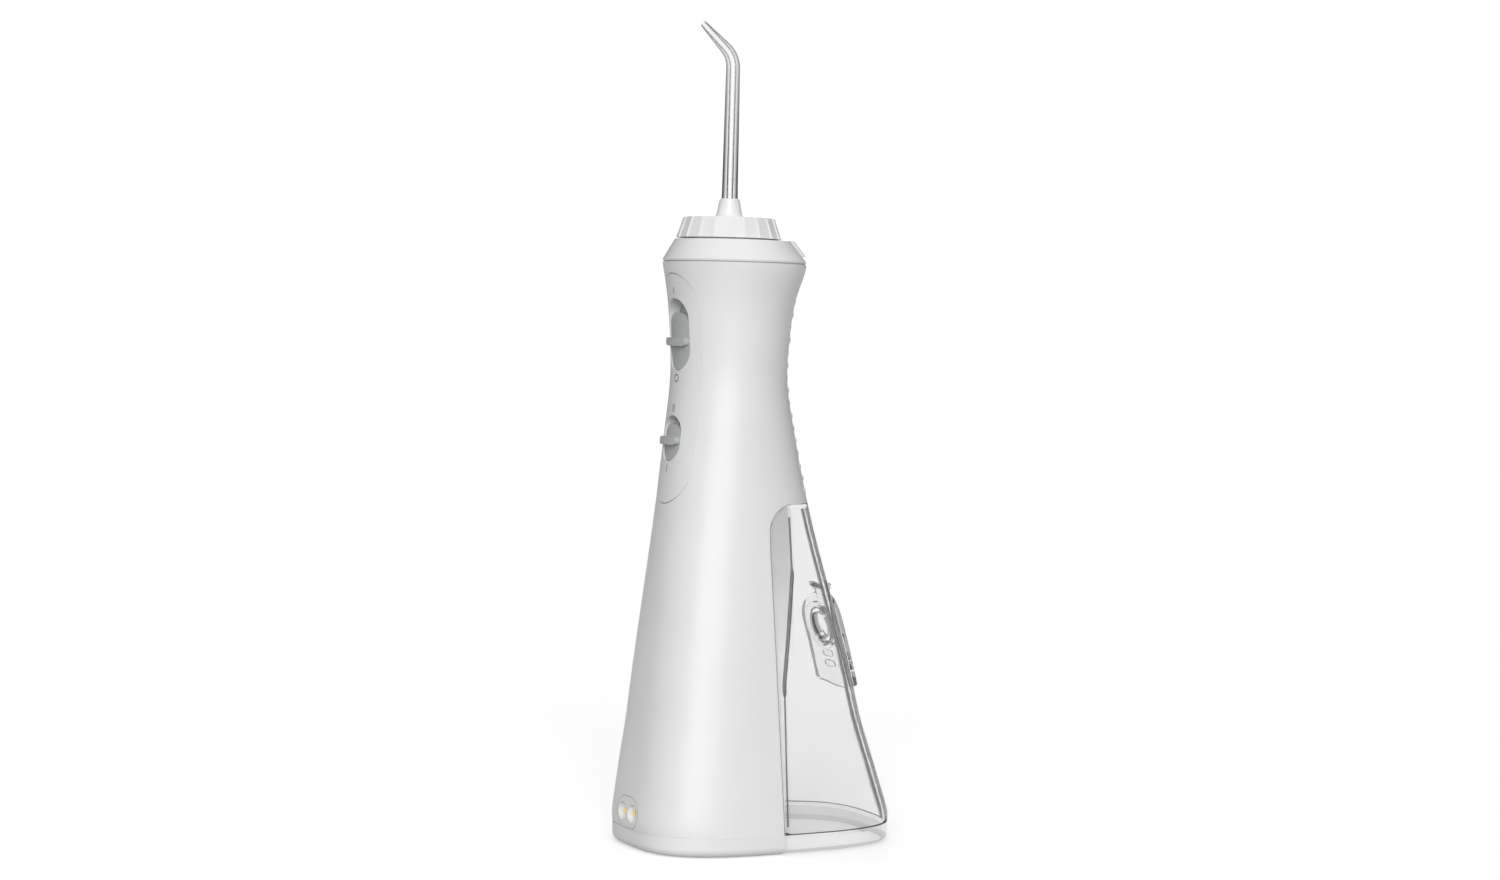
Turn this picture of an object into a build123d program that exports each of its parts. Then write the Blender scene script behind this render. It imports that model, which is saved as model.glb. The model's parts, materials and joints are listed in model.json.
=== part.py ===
from build123d import *

import os
from math import atan, cos, pi, radians, sin

# Cordless water flosser: a tapered housing with a clip-on reservoir, a turning jet tip and a piston pump.
#
# Millimetres, +Z up. The switches face -Y, the reservoir is at +Y, and the origin is the centre of the
# footprint on the surface that the flosser stands on.


os.makedirs("parts", exist_ok=True)

# ---------------------------------------------------------------- driving dimensions
NOZZLE_Y = -15.3  # the jet tip and its knob turn about this vertical axis
BASE_TOP = 7.0  # seam between the base band and the housing
SEAM_TOP = 208.5  # seam between the housing and the collar
TANK_TOP = 123.0
WALL = 2.0  # housing wall
TANK_WALL = 1.8
FLANGE = 1.7  # reservoir flange that laps over the housing's sides
FIT = 0.05  # radial clearance of a running fit
GAP = 0.3  # clearance between bodies that move past each other
GROOVE = 0.35  # reveal along a seam

# Outer form of the body: height, half width, half depth, centre Y, squareness
STATIONS = [
    (7.0, 33.0, 49.95, 0.05, 3.0),
    (12.0, 32.7, 50.0, -0.25, 2.97),
    (18.0, 32.2, 48.75, -0.95, 2.93),
    (26.0, 31.46, 47.0, -1.89, 2.877),
    (36.0, 30.61, 44.66, -3.04, 2.81),
    (48.0, 29.64, 42.05, -4.26, 2.73),
    (62.0, 28.44, 39.74, -5.37, 2.637),
    (78.0, 27.13, 36.7, -6.79, 2.53),
    (94.0, 25.64, 33.39, -8.4, 2.419),
    (110.0, 24.26, 30.17, -10.0, 2.279),
    (126.0, 23.09, 27.24, -11.39, 2.157),
    (142.0, 22.15, 24.64, -12.53, 2.061),
    (156.0, 21.42, 22.39, -13.34, 2.019),
    (170.0, 21.0, 21.0, -13.8, 2.0),
    (182.0, 21.51, 21.51, -13.76, 2.0),
    (193.0, 22.59, 22.59, -13.59, 2.0),
    (202.0, 24.48, 24.48, -12.89, 2.0),
    (208.5, 25.8, 25.8, -12.7, 2.0),
]
OUTLINE_POINTS = 32
REACH = 60.0  # larger than any half width, for cutting blocks

# Parting wall between housing and reservoir, as (Y, Z), and the reservoir flange's front edge
PARTING = [(-2.5, -1.0), (-2.5, 7.0), (-3.1, 60.0), (1.3, 99.0), (1.0, TANK_TOP)]
FLANGE_EDGE = [(-3.4, -1.0), (-4.0, 7.0), (-8.1, 108.0), (-8.4, TANK_TOP)]
FLANGE_CORNER = 9.5

# Switch panel and its two slots, all upright stadiums on the front
PANEL_LOW, PANEL_HIGH, PANEL_RADIUS = 122.7, 204.1, 12.2
PANEL_THICK = 1.2
POWER_LOW, POWER_HIGH, POWER_RADIUS, POWER_TRAVEL = 169.7, 195.4, 7.5, 4.6
PRESSURE_LOW, PRESSURE_HIGH, PRESSURE_RADIUS, PRESSURE_TRAVEL = 137.5, 153.85, 6.3, 2.7
SKIRT_FRONT, SKIRT_THICK = -30.2, 1.2  # sliding plates behind the panel
RIM = 1.1  # wall round each slot, behind the panel

# Base cap, which ends at a plane just ahead of the reservoir
BASE_SPLIT, BASE_FLOOR, BASE_ROUND = -3.9, 2.0, 3.0
SCREW_PLACES = [(-19.0, -28.0), (19.0, -28.0), (-20.0, -12.0), (20.0, -12.0)]

# Knob, collar and tip
COLLAR_TOP = 216.7
COLLAR_STATIONS = [(208.0, 25.3, -12.7), (209.5, 25.75, -12.7), (217.5, 20.2, -13.8)]
HUB_RADIUS = 15.0
KNOB_LOW, KNOB_HIGH, KNOB_FACETS = 217.3, 224.6, 20
TIP_RADIUS, TIP_BORE = 2.95, 1.1
TIP_BEND_Z, TIP_BEND, TIP_ANGLE, TIP_NOSE = 278.1, 9.0, 49.0, 13.4
STEM_LOW = 199.0
EJECT_HALF, EJECT_RISE, EJECT_ROUND, EJECT_TRAVEL, LATCH_LOW = 10.8, 1.7, 1.2, 2.0, 209.6
SOCKET_BACK = NOZZLE_Y + 6.2

# Drive
MOTOR_Y, MOTOR_Z, MOTOR_RADIUS, MOTOR_FACE, MOTOR_LENGTH = -17.0, 74.0, 12.1, 8.5, 26.5
MODULE = 0.5
PINION_TEETH, GEAR_TEETH = 12, 48
GEAR_X, GEAR_WIDTH, PLATE_X = 14.5, 4.0, 19.0
SHAFT_RADIUS, AXLE_RADIUS = 1.15, 2.0
GEAR_Z = MOTOR_Z + MODULE * (PINION_TEETH + GEAR_TEETH) / 2
CRANK = 3.0
ROD_X, BORE_RADIUS, BORE_LOW, BORE_HIGH = 12.0, 4.0, 104.0, 126.5
WRIST_Z, HEAD_TOP, INTAKE_Z, OUTLET_VALVE_Z = 115.0, 137.0, 130.6, 133.0
SPOOL_X, SPOOL_Y = 5.5, -22.5  # bypass spool that the pressure slider carries

# Chassis, cells and circuit board
SHELF_Z, TRAY_Z = 61.5, 9.5
CELL_X, CELL_Y, CELL_RADIUS = 7.8, -25.0, 7.0
HOSE_X, HOSE_Y, HOSE_RADIUS, HOSE_BORE = -20.3, -22.0, 2.1, 1.5
BOARD_Y = -25.8

# Charging port on the front, low down
PORT_Z, PORT_WIDTH, PORT_HEIGHT = 12.6, 15.6, 11.0
PORT_FACE, PORT_BACK = -49.6, -45.0
CONTACT_SPACING, CONTACT_RADIUS, CONTACT_DEPTH = 7.6, 3.2, 1.6

# Water inlet between reservoir and pump
INLET_X, INLET_Z, SPIGOT_RADIUS = -12.0, 16.0, 3.0

# Fill door on the sloping back. In BACK_PLANE, v runs up the slope and w stands out from it
BACK_TILT = 16.1
BACK_PLANE = Plane(
    origin=(0, 30.75, 75), x_dir=(-1, 0, 0), z_dir=(0, cos(radians(BACK_TILT)), sin(radians(BACK_TILT)))
)
DOOR_HALF, DOOR_LOW, DOOR_HIGH, DOOR_RISE = 13.5, -21.5, 14.5, 1.7
FILL_RADIUS, FILL_V, PLUG_RADIUS, SEAL_DEPTH = 7.6, 3.0, 6.5, -1.6
HINGE_V, HINGE_W, HINGE_RADIUS, PIN_RADIUS, KNUCKLE_HALF = 17.3, 1.0, 1.25, 0.6, 3.6
LUG_WIDTH = 1.8


# ---------------------------------------------------------------- shared forms
def superellipse(half_width, half_depth, centre_y, squareness):
    """Points of a closed rounded outline."""
    points = []
    for index in range(OUTLINE_POINTS):
        angle = 2 * pi * index / OUTLINE_POINTS
        c, s = cos(angle), sin(angle)
        x = half_width * abs(c) ** (2 / squareness) * (1 if c > 0 else -1)
        y = half_depth * abs(s) ** (2 / squareness) * (1 if s > 0 else -1)
        points.append((x, centre_y + y))
    return points


def body_form(inset, extend=0.0):
    """The body's outer form drawn in by inset; extend lengthens it past both ends."""
    with BuildPart() as form:
        for height, half_width, half_depth, centre_y, squareness in STATIONS:
            if height == STATIONS[0][0]:
                height -= extend
            if height == STATIONS[-1][0]:
                height += extend
            with BuildSketch(Plane.XY.offset(height)):
                outline = superellipse(half_width - inset, half_depth - inset, centre_y, squareness)
                with BuildLine():
                    Spline(*outline, periodic=True)
                make_face()
        loft()
    return form.part


def side_block(points, corner=0.0, corner_point=None, half=REACH):
    """Everything behind a line of (Y, Z) points, as a block across X."""
    low, high = points[0][1], points[-1][1]
    with BuildPart() as block:
        with BuildSketch(Plane.YZ):
            with BuildLine():
                Polyline(*points, (2 * REACH, high), (2 * REACH, low), close=True)
            make_face()
            if corner:
                nearest = vertices().sort_by_distance(Vector(corner_point[0], corner_point[1], 0))[0]
                fillet(nearest, corner)
        extrude(amount=half, both=True)
    return block.part


def shifted(points, by, top=None):
    """The same (Y, Z) line moved along Y, with its last point at another height if top is given."""
    line = [(y + by, z) for y, z in points]
    if top is not None:
        line[-1] = (line[-1][0], top)
    return line


def stadium(low, high, radius, depth_from, depth_to):
    """An upright stadium centred on X = 0, as a prism along Y."""
    with BuildPart() as prism:
        with BuildSketch(Plane.XZ.offset(-depth_to)):
            with Locations((0, (low + high) / 2)):
                SlotOverall(high - low, 2 * radius, rotation=90)
        extrude(amount=depth_to - depth_from)
    return prism.part


def stadium_across(height, width, tall, depth_from, depth_to):
    """A level stadium centred on X = 0, as a prism along Y."""
    with BuildPart() as prism:
        with BuildSketch(Plane.XZ.offset(-depth_to)):
            with Locations((0, height)):
                SlotOverall(width, tall)
        extrude(amount=depth_to - depth_from)
    return prism.part


def slab(low, high):
    """A block between two heights, wider than the body."""
    with BuildPart() as block:
        with BuildSketch(Plane.XY.offset(low)):
            Rectangle(4 * REACH, 4 * REACH)
        extrude(amount=high - low)
    return block.part


def save(part, name):
    part.label = name
    export_step(part, "parts/" + name + ".step")


outer = body_form(0.0)

# ---------------------------------------------------------------- main housing
with BuildPart() as cavity:
    add(body_form(WALL, 3))
    add(side_block(shifted(FLANGE_EDGE, -GAP - WALL, TANK_TOP + GAP + WALL)), mode=Mode.SUBTRACT)
with BuildPart() as rear_cavity:
    add(body_form(FLANGE + GAP + WALL, 3))
    add(side_block(shifted(PARTING, -GAP - WALL, TANK_TOP + GAP + WALL)), mode=Mode.SUBTRACT)

panel_pocket = stadium(PANEL_LOW - 0.35, PANEL_HIGH + 0.35, PANEL_RADIUS + 0.1, -REACH, -24)
panel_floor = body_form(PANEL_THICK + 0.03)
flange_edge = shifted(FLANGE_EDGE, -GAP, TANK_TOP + GAP)
flange_floor = body_form(FLANGE + GAP, 3)

with BuildPart() as main_housing:
    add(outer)
    add(side_block(shifted(PARTING, -GAP, TANK_TOP + GAP)), mode=Mode.SUBTRACT)
    add(side_block(flange_edge, FLANGE_CORNER + GAP, flange_edge[-1]) - flange_floor, mode=Mode.SUBTRACT)
    add(cavity.part, mode=Mode.SUBTRACT)
    add(rear_cavity.part, mode=Mode.SUBTRACT)
    add(panel_pocket - panel_floor, mode=Mode.SUBTRACT)
    add(stadium(PANEL_LOW + 4, PANEL_HIGH - 4, PANEL_RADIUS - 3.5, -REACH, -24), mode=Mode.SUBTRACT)
    # bay for the charging bezel
    add(stadium_across(PORT_Z, PORT_WIDTH + 0.1, PORT_HEIGHT + 0.1, -REACH, -40), mode=Mode.SUBTRACT)
    # water inlet through the parting wall
    with BuildSketch(Plane.XZ.offset(10)):
        with Locations((INLET_X, INLET_Z)):
            Circle(SPIGOT_RADIUS)
    extrude(amount=-20, mode=Mode.SUBTRACT)
save(main_housing.part, "main_housing")


# ---------------------------------------------------------------- small makers
def rod_x(y, z, radius, x_from, x_to):
    """A cylinder lying along X."""
    with BuildPart() as rod:
        with BuildSketch(Plane.YZ.offset(x_from)):
            with Locations((y, z)):
                Circle(radius)
        extrude(amount=x_to - x_from)
    return rod.part


def rod_y(x, z, radius, y_from, y_to):
    """A cylinder lying along Y."""
    with BuildPart() as rod:
        with BuildSketch(Plane.XZ.offset(-y_to)):
            with Locations((x, z)):
                Circle(radius)
        extrude(amount=y_to - y_from)
    return rod.part


def rod_z(x, y, radius, z_from, z_to):
    """An upright cylinder."""
    with BuildPart() as rod:
        with BuildSketch(Plane.XY.offset(z_from)):
            with Locations((x, y)):
                Circle(radius)
        extrude(amount=z_to - z_from)
    return rod.part


def block(x_from, x_to, y_from, y_to, z_from, z_to):
    """A box between two corners."""
    with BuildPart() as box:
        with Locations(((x_from + x_to) / 2, (y_from + y_to) / 2, (z_from + z_to) / 2)):
            Box(x_to - x_from, y_to - y_from, z_to - z_from)
    return box.part


def ring_y(x, y, z, radius, thick):
    """A torus whose axis lies along Y."""
    with BuildPart() as ring:
        with BuildSketch(Plane(origin=(x, y, z), x_dir=(1, 0, 0), z_dir=(0, 0, 1))):
            with Locations((radius, 0)):
                Circle(thick)
        revolve(axis=Axis((x, y, z), (0, 1, 0)))
    return ring.part


def ring_z(x, y, z, radius, thick):
    """A torus whose axis is upright."""
    with BuildPart() as ring:
        with BuildSketch(Plane(origin=(x, y, z), x_dir=(1, 0, 0), z_dir=(0, -1, 0))):
            with Locations((radius, 0)):
                Circle(thick)
        revolve(axis=Axis((x, y, z), (0, 0, 1)))
    return ring.part


def hinge_rod(radius, half):
    """A cylinder on the fill door's hinge axis."""
    centre = BACK_PLANE.origin + BACK_PLANE.y_dir * HINGE_V + BACK_PLANE.z_dir * HINGE_W
    return rod_x(centre.Y, centre.Z, radius, -half, half)


def hinge_lug(side):
    """One lug that holds the end of the hinge pin on the reservoir's back."""
    inner = KNUCKLE_HALF + GAP
    with BuildPart() as lug:
        with BuildSketch(BACK_PLANE.offset(-1.2)):
            with Locations((side * (inner + LUG_WIDTH / 2), HINGE_V)):
                Rectangle(LUG_WIDTH, 2 * HINGE_RADIUS)
        extrude(amount=1.2 + HINGE_W)
    centre = BACK_PLANE.origin + BACK_PLANE.y_dir * HINGE_V + BACK_PLANE.z_dir * HINGE_W
    start = min(side * inner, side * (inner + LUG_WIDTH))
    return lug.part + rod_x(centre.Y, centre.Z, HINGE_RADIUS, start, start + LUG_WIDTH)


def round_path(points, radius):
    """Straight runs joined by tangent arcs."""
    with BuildLine() as path:
        FilletPolyline(*points, radius=radius)
    return path.wires()[0]


def hose(points, bend, outer_radius, inner_radius):
    """A hollow tube along a rounded path."""
    path = round_path(points, bend)
    with BuildPart() as tube:
        with BuildSketch(Plane(origin=path @ 0, z_dir=path % 0)):
            Circle(outer_radius)
            if inner_radius:
                Circle(inner_radius, mode=Mode.SUBTRACT)
        sweep(path=path)
    return tube.part


def nozzle_turned(points):
    """A shape turned about the nozzle axis from (radius, Z) points."""
    with BuildPart() as turned:
        with BuildSketch(Plane.XZ.offset(-NOZZLE_Y)):
            with BuildLine():
                Polyline(*points, close=True)
            make_face()
        revolve(axis=Axis((0, NOZZLE_Y, 0), (0, 0, 1)))
    return turned.part


# ---------------------------------------------------------------- base cap
def base_form(inset, low, high, rounding=0.0):
    """The footprint drawn in by inset, between two heights."""
    _, half_width, half_depth, centre_y, squareness = STATIONS[0]
    outline = superellipse(half_width - inset, half_depth - inset, centre_y, squareness)
    with BuildPart() as form:
        with BuildSketch(Plane.XY.offset(low)):
            with BuildLine():
                Spline(*outline, periodic=True)
            make_face()
        extrude(amount=high - low)
        if rounding:
            fillet(faces().sort_by(Axis.Z)[0].edges(), rounding)
    return form.part


def base_front(rear_y):
    """Everything ahead of a plane across the base."""
    return block(-REACH, REACH, -2 * REACH, rear_y, -1, 20)


port_room = block(-9.5, 9.5, -REACH, -39, BASE_TOP, 20)

with BuildPart() as base_cap:
    add(base_form(0, 0, BASE_TOP, BASE_ROUND) & base_front(BASE_SPLIT - GAP))
    add(base_form(WALL, BASE_FLOOR, BASE_TOP + 1) & base_front(BASE_SPLIT - GAP - WALL), mode=Mode.SUBTRACT)
    reveal = BASE_TOP - GROOVE
    add(base_form(-1, reveal, BASE_TOP + 1) - base_form(GROOVE, reveal - 1, BASE_TOP + 2), mode=Mode.SUBTRACT)
    lip = base_form(WALL + 1.0, BASE_FLOOR, BASE_TOP + 3)
    lip -= base_form(WALL + 2.2, BASE_FLOOR - 1, BASE_TOP + 4)
    add((lip & base_front(BASE_SPLIT - 12)) - port_room)
    for x, y in SCREW_PLACES:
        add(rod_z(x, y, 3.6, BASE_FLOOR, 4.4))
        add(rod_z(x, y, 1.6, -1, 5), mode=Mode.SUBTRACT)
        add(rod_z(x, y, 2.9, -1, 1.6), mode=Mode.SUBTRACT)
save(base_cap.part, "base_cap")

with BuildPart() as base_seal:
    add(base_form(WALL + 0.1, BASE_TOP + 0.6, BASE_TOP + 2.2))
    add(base_form(WALL + 0.98, BASE_TOP, BASE_TOP + 3), mode=Mode.SUBTRACT)
    add(block(-REACH, REACH, BASE_SPLIT - 12, 2 * REACH, 0, 20), mode=Mode.SUBTRACT)
    add(port_room, mode=Mode.SUBTRACT)
save(base_seal.part, "base_seal")

with BuildPart() as base_screws:
    for x, y in SCREW_PLACES:
        add(rod_z(x, y, 2.7, 0.3, 1.6))
        add(rod_z(x, y, 1.45, 1.6, 12))
        add(block(x - 2, x + 2, y - 0.3, y + 0.3, 0, 0.8), mode=Mode.SUBTRACT)
        add(block(x - 0.3, x + 0.3, y - 2, y + 2, 0, 0.8), mode=Mode.SUBTRACT)
save(base_screws.part, "base_screws")


# ---------------------------------------------------------------- collar, knob and tip
def collar_form(outset, low, high):
    """The collar's cone, standing outset from its true surface, cut between two heights."""
    with BuildPart() as form:
        for height, radius, centre_y in COLLAR_STATIONS:
            with BuildSketch(Plane.XY.offset(height)):
                with Locations((0, centre_y)):
                    Circle(radius + outset)
        loft(ruled=True)
    return form.part & slab(low, high)


with BuildPart() as collar:
    add(collar_form(0, SEAM_TOP, COLLAR_TOP))
    add(collar_form(-2.2, SEAM_TOP - 1, COLLAR_TOP - 2), mode=Mode.SUBTRACT)
    spigot_ring = rod_z(0, -12.7, 23.2, SEAM_TOP - 2, SEAM_TOP + 2)
    add(spigot_ring - rod_z(0, -12.7, 21.2, SEAM_TOP - 3, SEAM_TOP + 3))
    groove = collar_form(1, SEAM_TOP - 0.2, SEAM_TOP + GROOVE)
    groove -= collar_form(-GROOVE, SEAM_TOP - 1, SEAM_TOP + 1)
    add(groove, mode=Mode.SUBTRACT)
    add(rod_z(0, NOZZLE_Y, HUB_RADIUS + FIT, SEAM_TOP, COLLAR_TOP + 1), mode=Mode.SUBTRACT)
    notch_half = EJECT_HALF + GAP
    add(block(-notch_half, notch_half, 1.6, 20, 211.3, COLLAR_TOP + 1), mode=Mode.SUBTRACT)
save(collar.part, "collar")

eject_limits = block(-EJECT_HALF, EJECT_HALF, 4.2, 20, 211.6, KNOB_LOW - GAP)
with BuildPart() as eject_button:
    add(collar_form(EJECT_RISE, 211.6, KNOB_LOW - GAP) & eject_limits)
    fillet(faces().sort_by(Axis.Y)[-1].edges().sort_by(Axis.Z)[1:], EJECT_ROUND)
    add(block(-3, 3, 4.2, 6.2, LATCH_LOW - 2.7, 212))
    add(block(-5, 5, NOZZLE_Y - 6, 6.2, LATCH_LOW, LATCH_LOW + 1.4))
    with BuildSketch(Plane.XY.offset(LATCH_LOW)):
        with Locations((0, NOZZLE_Y + EJECT_TRAVEL / 2)):
            SlotOverall(2 * (TIP_RADIUS + GAP) + EJECT_TRAVEL, 2 * (TIP_RADIUS + GAP), rotation=90)
    extrude(amount=2, mode=Mode.SUBTRACT)
save(eject_button.part, "eject_button")

with BuildPart() as eject_spring:
    spring_line = Helix(1.6, 12.8, 0.85, center=(0, SOCKET_BACK, LATCH_LOW - 1.6), direction=(0, 1, 0))
    with BuildSketch(Plane(origin=spring_line @ 0, z_dir=spring_line % 0)):
        Circle(0.22)
    sweep(path=spring_line)
save(eject_spring.part, "eject_spring")


def fluted_ring(radius, depth, height):
    """The knob's grip outline at one height: shallow flats with fine ridges between them."""
    with BuildSketch(Plane.XY.offset(height)) as outline:
        with Locations((0, NOZZLE_Y)):
            Circle(radius)
        with Locations((0, NOZZLE_Y)):
            with PolarLocations(radius + 1 - depth, KNOB_FACETS):
                Rectangle(2, 2 * pi * radius / KNOB_FACETS - 0.8, mode=Mode.SUBTRACT)
    return outline.sketch


with BuildPart() as tip_knob:
    grip_ends = [fluted_ring(19.1, 0.55, KNOB_LOW), fluted_ring(16.5, 0.45, KNOB_HIGH)]
    loft([outline.faces()[0] for outline in grip_ends], ruled=True)
    add(nozzle_turned([(0, 211.6), (HUB_RADIUS, 211.6), (HUB_RADIUS, KNOB_LOW + 0.5), (0, KNOB_LOW + 0.5)]))
    add(nozzle_turned([(14, 212.3), (17, 212.3), (17, 213.4), (14, 213.4)]), mode=Mode.SUBTRACT)
    hollow = [(5.2, 211), (12.6, 211), (12.6, 217), (14.6, 219), (14.6, 222.6), (5.2, 222.6)]
    add(nozzle_turned(hollow), mode=Mode.SUBTRACT)
    neck = [(0, KNOB_HIGH - 1), (6.2, KNOB_HIGH - 1), (5.3, KNOB_HIGH), (4.7, KNOB_HIGH + 1.2)]
    neck += [(3.6, 231.0), (3.3, 231.5), (0, 231.5)]
    add(nozzle_turned(neck))
    add(rod_z(0, NOZZLE_Y, TIP_RADIUS + FIT, 205, 240), mode=Mode.SUBTRACT)
save(tip_knob.part, "tip_knob")

with BuildPart() as knob_retaining_ring:
    add(nozzle_turned([(14.02, 212.35), (16.6, 212.35), (16.6, 213.35), (14.02, 213.35)]))
    add(block(-1.2, 1.2, NOZZLE_Y - 18, NOZZLE_Y - 10, 212, 214), mode=Mode.SUBTRACT)
save(knob_retaining_ring.part, "knob_retaining_ring")

bend_end_y = -TIP_BEND * (1 - cos(radians(TIP_ANGLE)))
bend_end_z = TIP_BEND_Z + TIP_BEND * sin(radians(TIP_ANGLE))
with BuildLine() as tip_line:
    up = Line((0, NOZZLE_Y, STEM_LOW), (0, NOZZLE_Y, TIP_BEND_Z))
    bend = TangentArc(up @ 1, (0, NOZZLE_Y + bend_end_y, bend_end_z), tangent=(0, 0, 1))
    Line(bend @ 1, (bend @ 1) + TIP_NOSE * (bend % 1))
with BuildLine() as tip_bend_line:
    bend = TangentArc((0, NOZZLE_Y, TIP_BEND_Z), (0, NOZZLE_Y + bend_end_y, bend_end_z), tangent=(0, 0, 1))
    nose = Line(bend @ 1, (bend @ 1) + TIP_NOSE * (bend % 1))
with BuildPart() as jet_tip:
    stem = [(0, STEM_LOW), (2.4, STEM_LOW), (TIP_RADIUS, STEM_LOW + 0.8), (TIP_RADIUS, 231)]
    stem += [(2.85, 234), (2.5, TIP_BEND_Z), (0, TIP_BEND_Z)]
    add(nozzle_turned(stem))
    nose_sections = [(tip_bend_line.line @ 0, tip_bend_line.line % 0, 2.5), (bend @ 1, bend % 1, 2.15)]
    nose_sections.append((nose @ 1, nose % 1, 1.0))
    for place, direction, radius in nose_sections:
        with BuildSketch(Plane(origin=place, x_dir=(1, 0, 0), z_dir=direction)):
            Circle(radius)
    sweep(path=tip_bend_line.line, multisection=True)
    with BuildSketch(Plane(origin=(0, NOZZLE_Y, STEM_LOW), z_dir=(0, 0, 1))):
        Circle(TIP_BORE)
    sweep(path=tip_line.line, mode=Mode.SUBTRACT)
save(jet_tip.part, "jet_tip")

# ---------------------------------------------------------------- tip socket
socket_profile = [(1.0, 191.5), (1.95, 191.5), (1.95, 197), (6, 197), (6, 204.5), (20.2, 204.5)]
socket_profile += [(20.2, 206.3), (6, 206.3), (6, 209), (3, 209), (3, 204.3), (4.2, 204.3)]
socket_profile += [(4.2, 202.9), (3, 202.9), (3, 198.5), (1.0, 198.5)]
with BuildPart() as tip_socket:
    add(nozzle_turned(socket_profile))
save(tip_socket.part, "tip_socket")

with BuildPart() as tip_o_ring:
    with BuildSketch(Plane.XZ.offset(-NOZZLE_Y)):
        with Locations((3.6, 203.6)):
            Circle(0.6)
    revolve(axis=Axis((0, NOZZLE_Y, 0), (0, 0, 1)))
save(tip_o_ring.part, "tip_o_ring")

# ---------------------------------------------------------------- switch panel and sliders
with BuildPart() as switch_panel:
    add(outer & stadium(PANEL_LOW, PANEL_HIGH, PANEL_RADIUS, -REACH, -24))
    add(body_form(PANEL_THICK), mode=Mode.SUBTRACT)
    slots = [(POWER_LOW, POWER_HIGH, POWER_RADIUS), (PRESSURE_LOW, PRESSURE_HIGH, PRESSURE_RADIUS)]
    for low, high, radius in slots:
        rim = stadium(low - RIM, high + RIM, radius + RIM, -REACH, SKIRT_FRONT - GAP)
        add(rim & body_form(PANEL_THICK - 0.1))
    add(stadium(POWER_LOW, POWER_HIGH, POWER_RADIUS, -REACH, -20), mode=Mode.SUBTRACT)
    add(stadium(PRESSURE_LOW, PRESSURE_HIGH, PRESSURE_RADIUS, -REACH, -20), mode=Mode.SUBTRACT)
save(switch_panel.part, "switch_panel")

slider_face = body_form(0.45)
rib_face = body_form(-1.7)


def slider(low, high, radius, travel, skirt_half, rib_z, rib_half):
    """A switch slider: a plate that fills its slot, a wider skirt behind the panel and a thumb rib."""
    skirt_back = SKIRT_FRONT + SKIRT_THICK
    with BuildPart() as plate:
        add(stadium(low, high, radius, -REACH, SKIRT_FRONT + 0.2) & slider_face)
        skirt_low, skirt_top = low - travel - 0.6, high + GAP + travel + 0.3
        add(block(-skirt_half, skirt_half, SKIRT_FRONT, skirt_back, skirt_low, skirt_top))
        add(stadium_across(rib_z, 2 * rib_half, 2.9, -REACH, SKIRT_FRONT) & rib_face)
    return plate.part


power_top = POWER_HIGH - GAP - POWER_TRAVEL
with BuildPart() as power_slider:
    add(slider(POWER_LOW + GAP, power_top, POWER_RADIUS - GAP, POWER_TRAVEL, 8.0, 180.0, 7.0))
    add(block(-1.2, 1.2, SKIRT_FRONT + SKIRT_THICK - 0.1, -27.2, 179.0, 181.4))
save(power_slider.part, "power_slider")

pressure_top = PRESSURE_HIGH - GAP - PRESSURE_TRAVEL
with BuildPart() as pressure_slider:
    add(slider(PRESSURE_LOW + GAP, pressure_top, PRESSURE_RADIUS - GAP, PRESSURE_TRAVEL, 7.0, 144.9, 5.9))
    add(block(-2, SPOOL_X + 1.5, SKIRT_FRONT + SKIRT_THICK - 0.1, SPOOL_Y, 143.4, 145.4))
    add(rod_z(SPOOL_X, SPOOL_Y, 1.5, 129.5, 145.4))
save(pressure_slider.part, "pressure_slider")

# ---------------------------------------------------------------- charging port
with BuildPart() as charge_bezel:
    add(outer & stadium_across(PORT_Z, PORT_WIDTH, PORT_HEIGHT, -REACH, PORT_BACK))
    for side in (-1, 1):
        x = side * CONTACT_SPACING / 2
        add(rod_y(x, PORT_Z, CONTACT_RADIUS, -REACH, PORT_FACE + CONTACT_DEPTH), mode=Mode.SUBTRACT)
        add(rod_y(x, PORT_Z, 1.0, -REACH, -20), mode=Mode.SUBTRACT)
save(charge_bezel.part, "charge_bezel")

with BuildPart() as contact_pins:
    for side in (-1, 1):
        add(rod_y(side * CONTACT_SPACING / 2, PORT_Z, 1.0, PORT_FACE + 0.5, PORT_BACK + 4))
        add(rod_y(side * CONTACT_SPACING / 2, PORT_Z, 1.6, PORT_BACK + 2.7, PORT_BACK + 3.4))
save(contact_pins.part, "contact_pins")

with BuildPart() as charge_magnets:
    for side in (-1, 1):
        x = side * CONTACT_SPACING / 2
        magnet = rod_y(x, PORT_Z, 3.4, PORT_BACK + 0.05, PORT_BACK + 2.6)
        add(magnet - rod_y(x, PORT_Z, 1.2, PORT_BACK, PORT_BACK + 3))
save(charge_magnets.part, "charge_magnets")

# ---------------------------------------------------------------- reservoir
with BuildPart() as tank_space:
    add(body_form(TANK_WALL, 3))
    add(side_block(shifted(PARTING, TANK_WALL)), mode=Mode.INTERSECT)
    add(slab(0, TANK_TOP - TANK_WALL), mode=Mode.INTERSECT)

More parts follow.
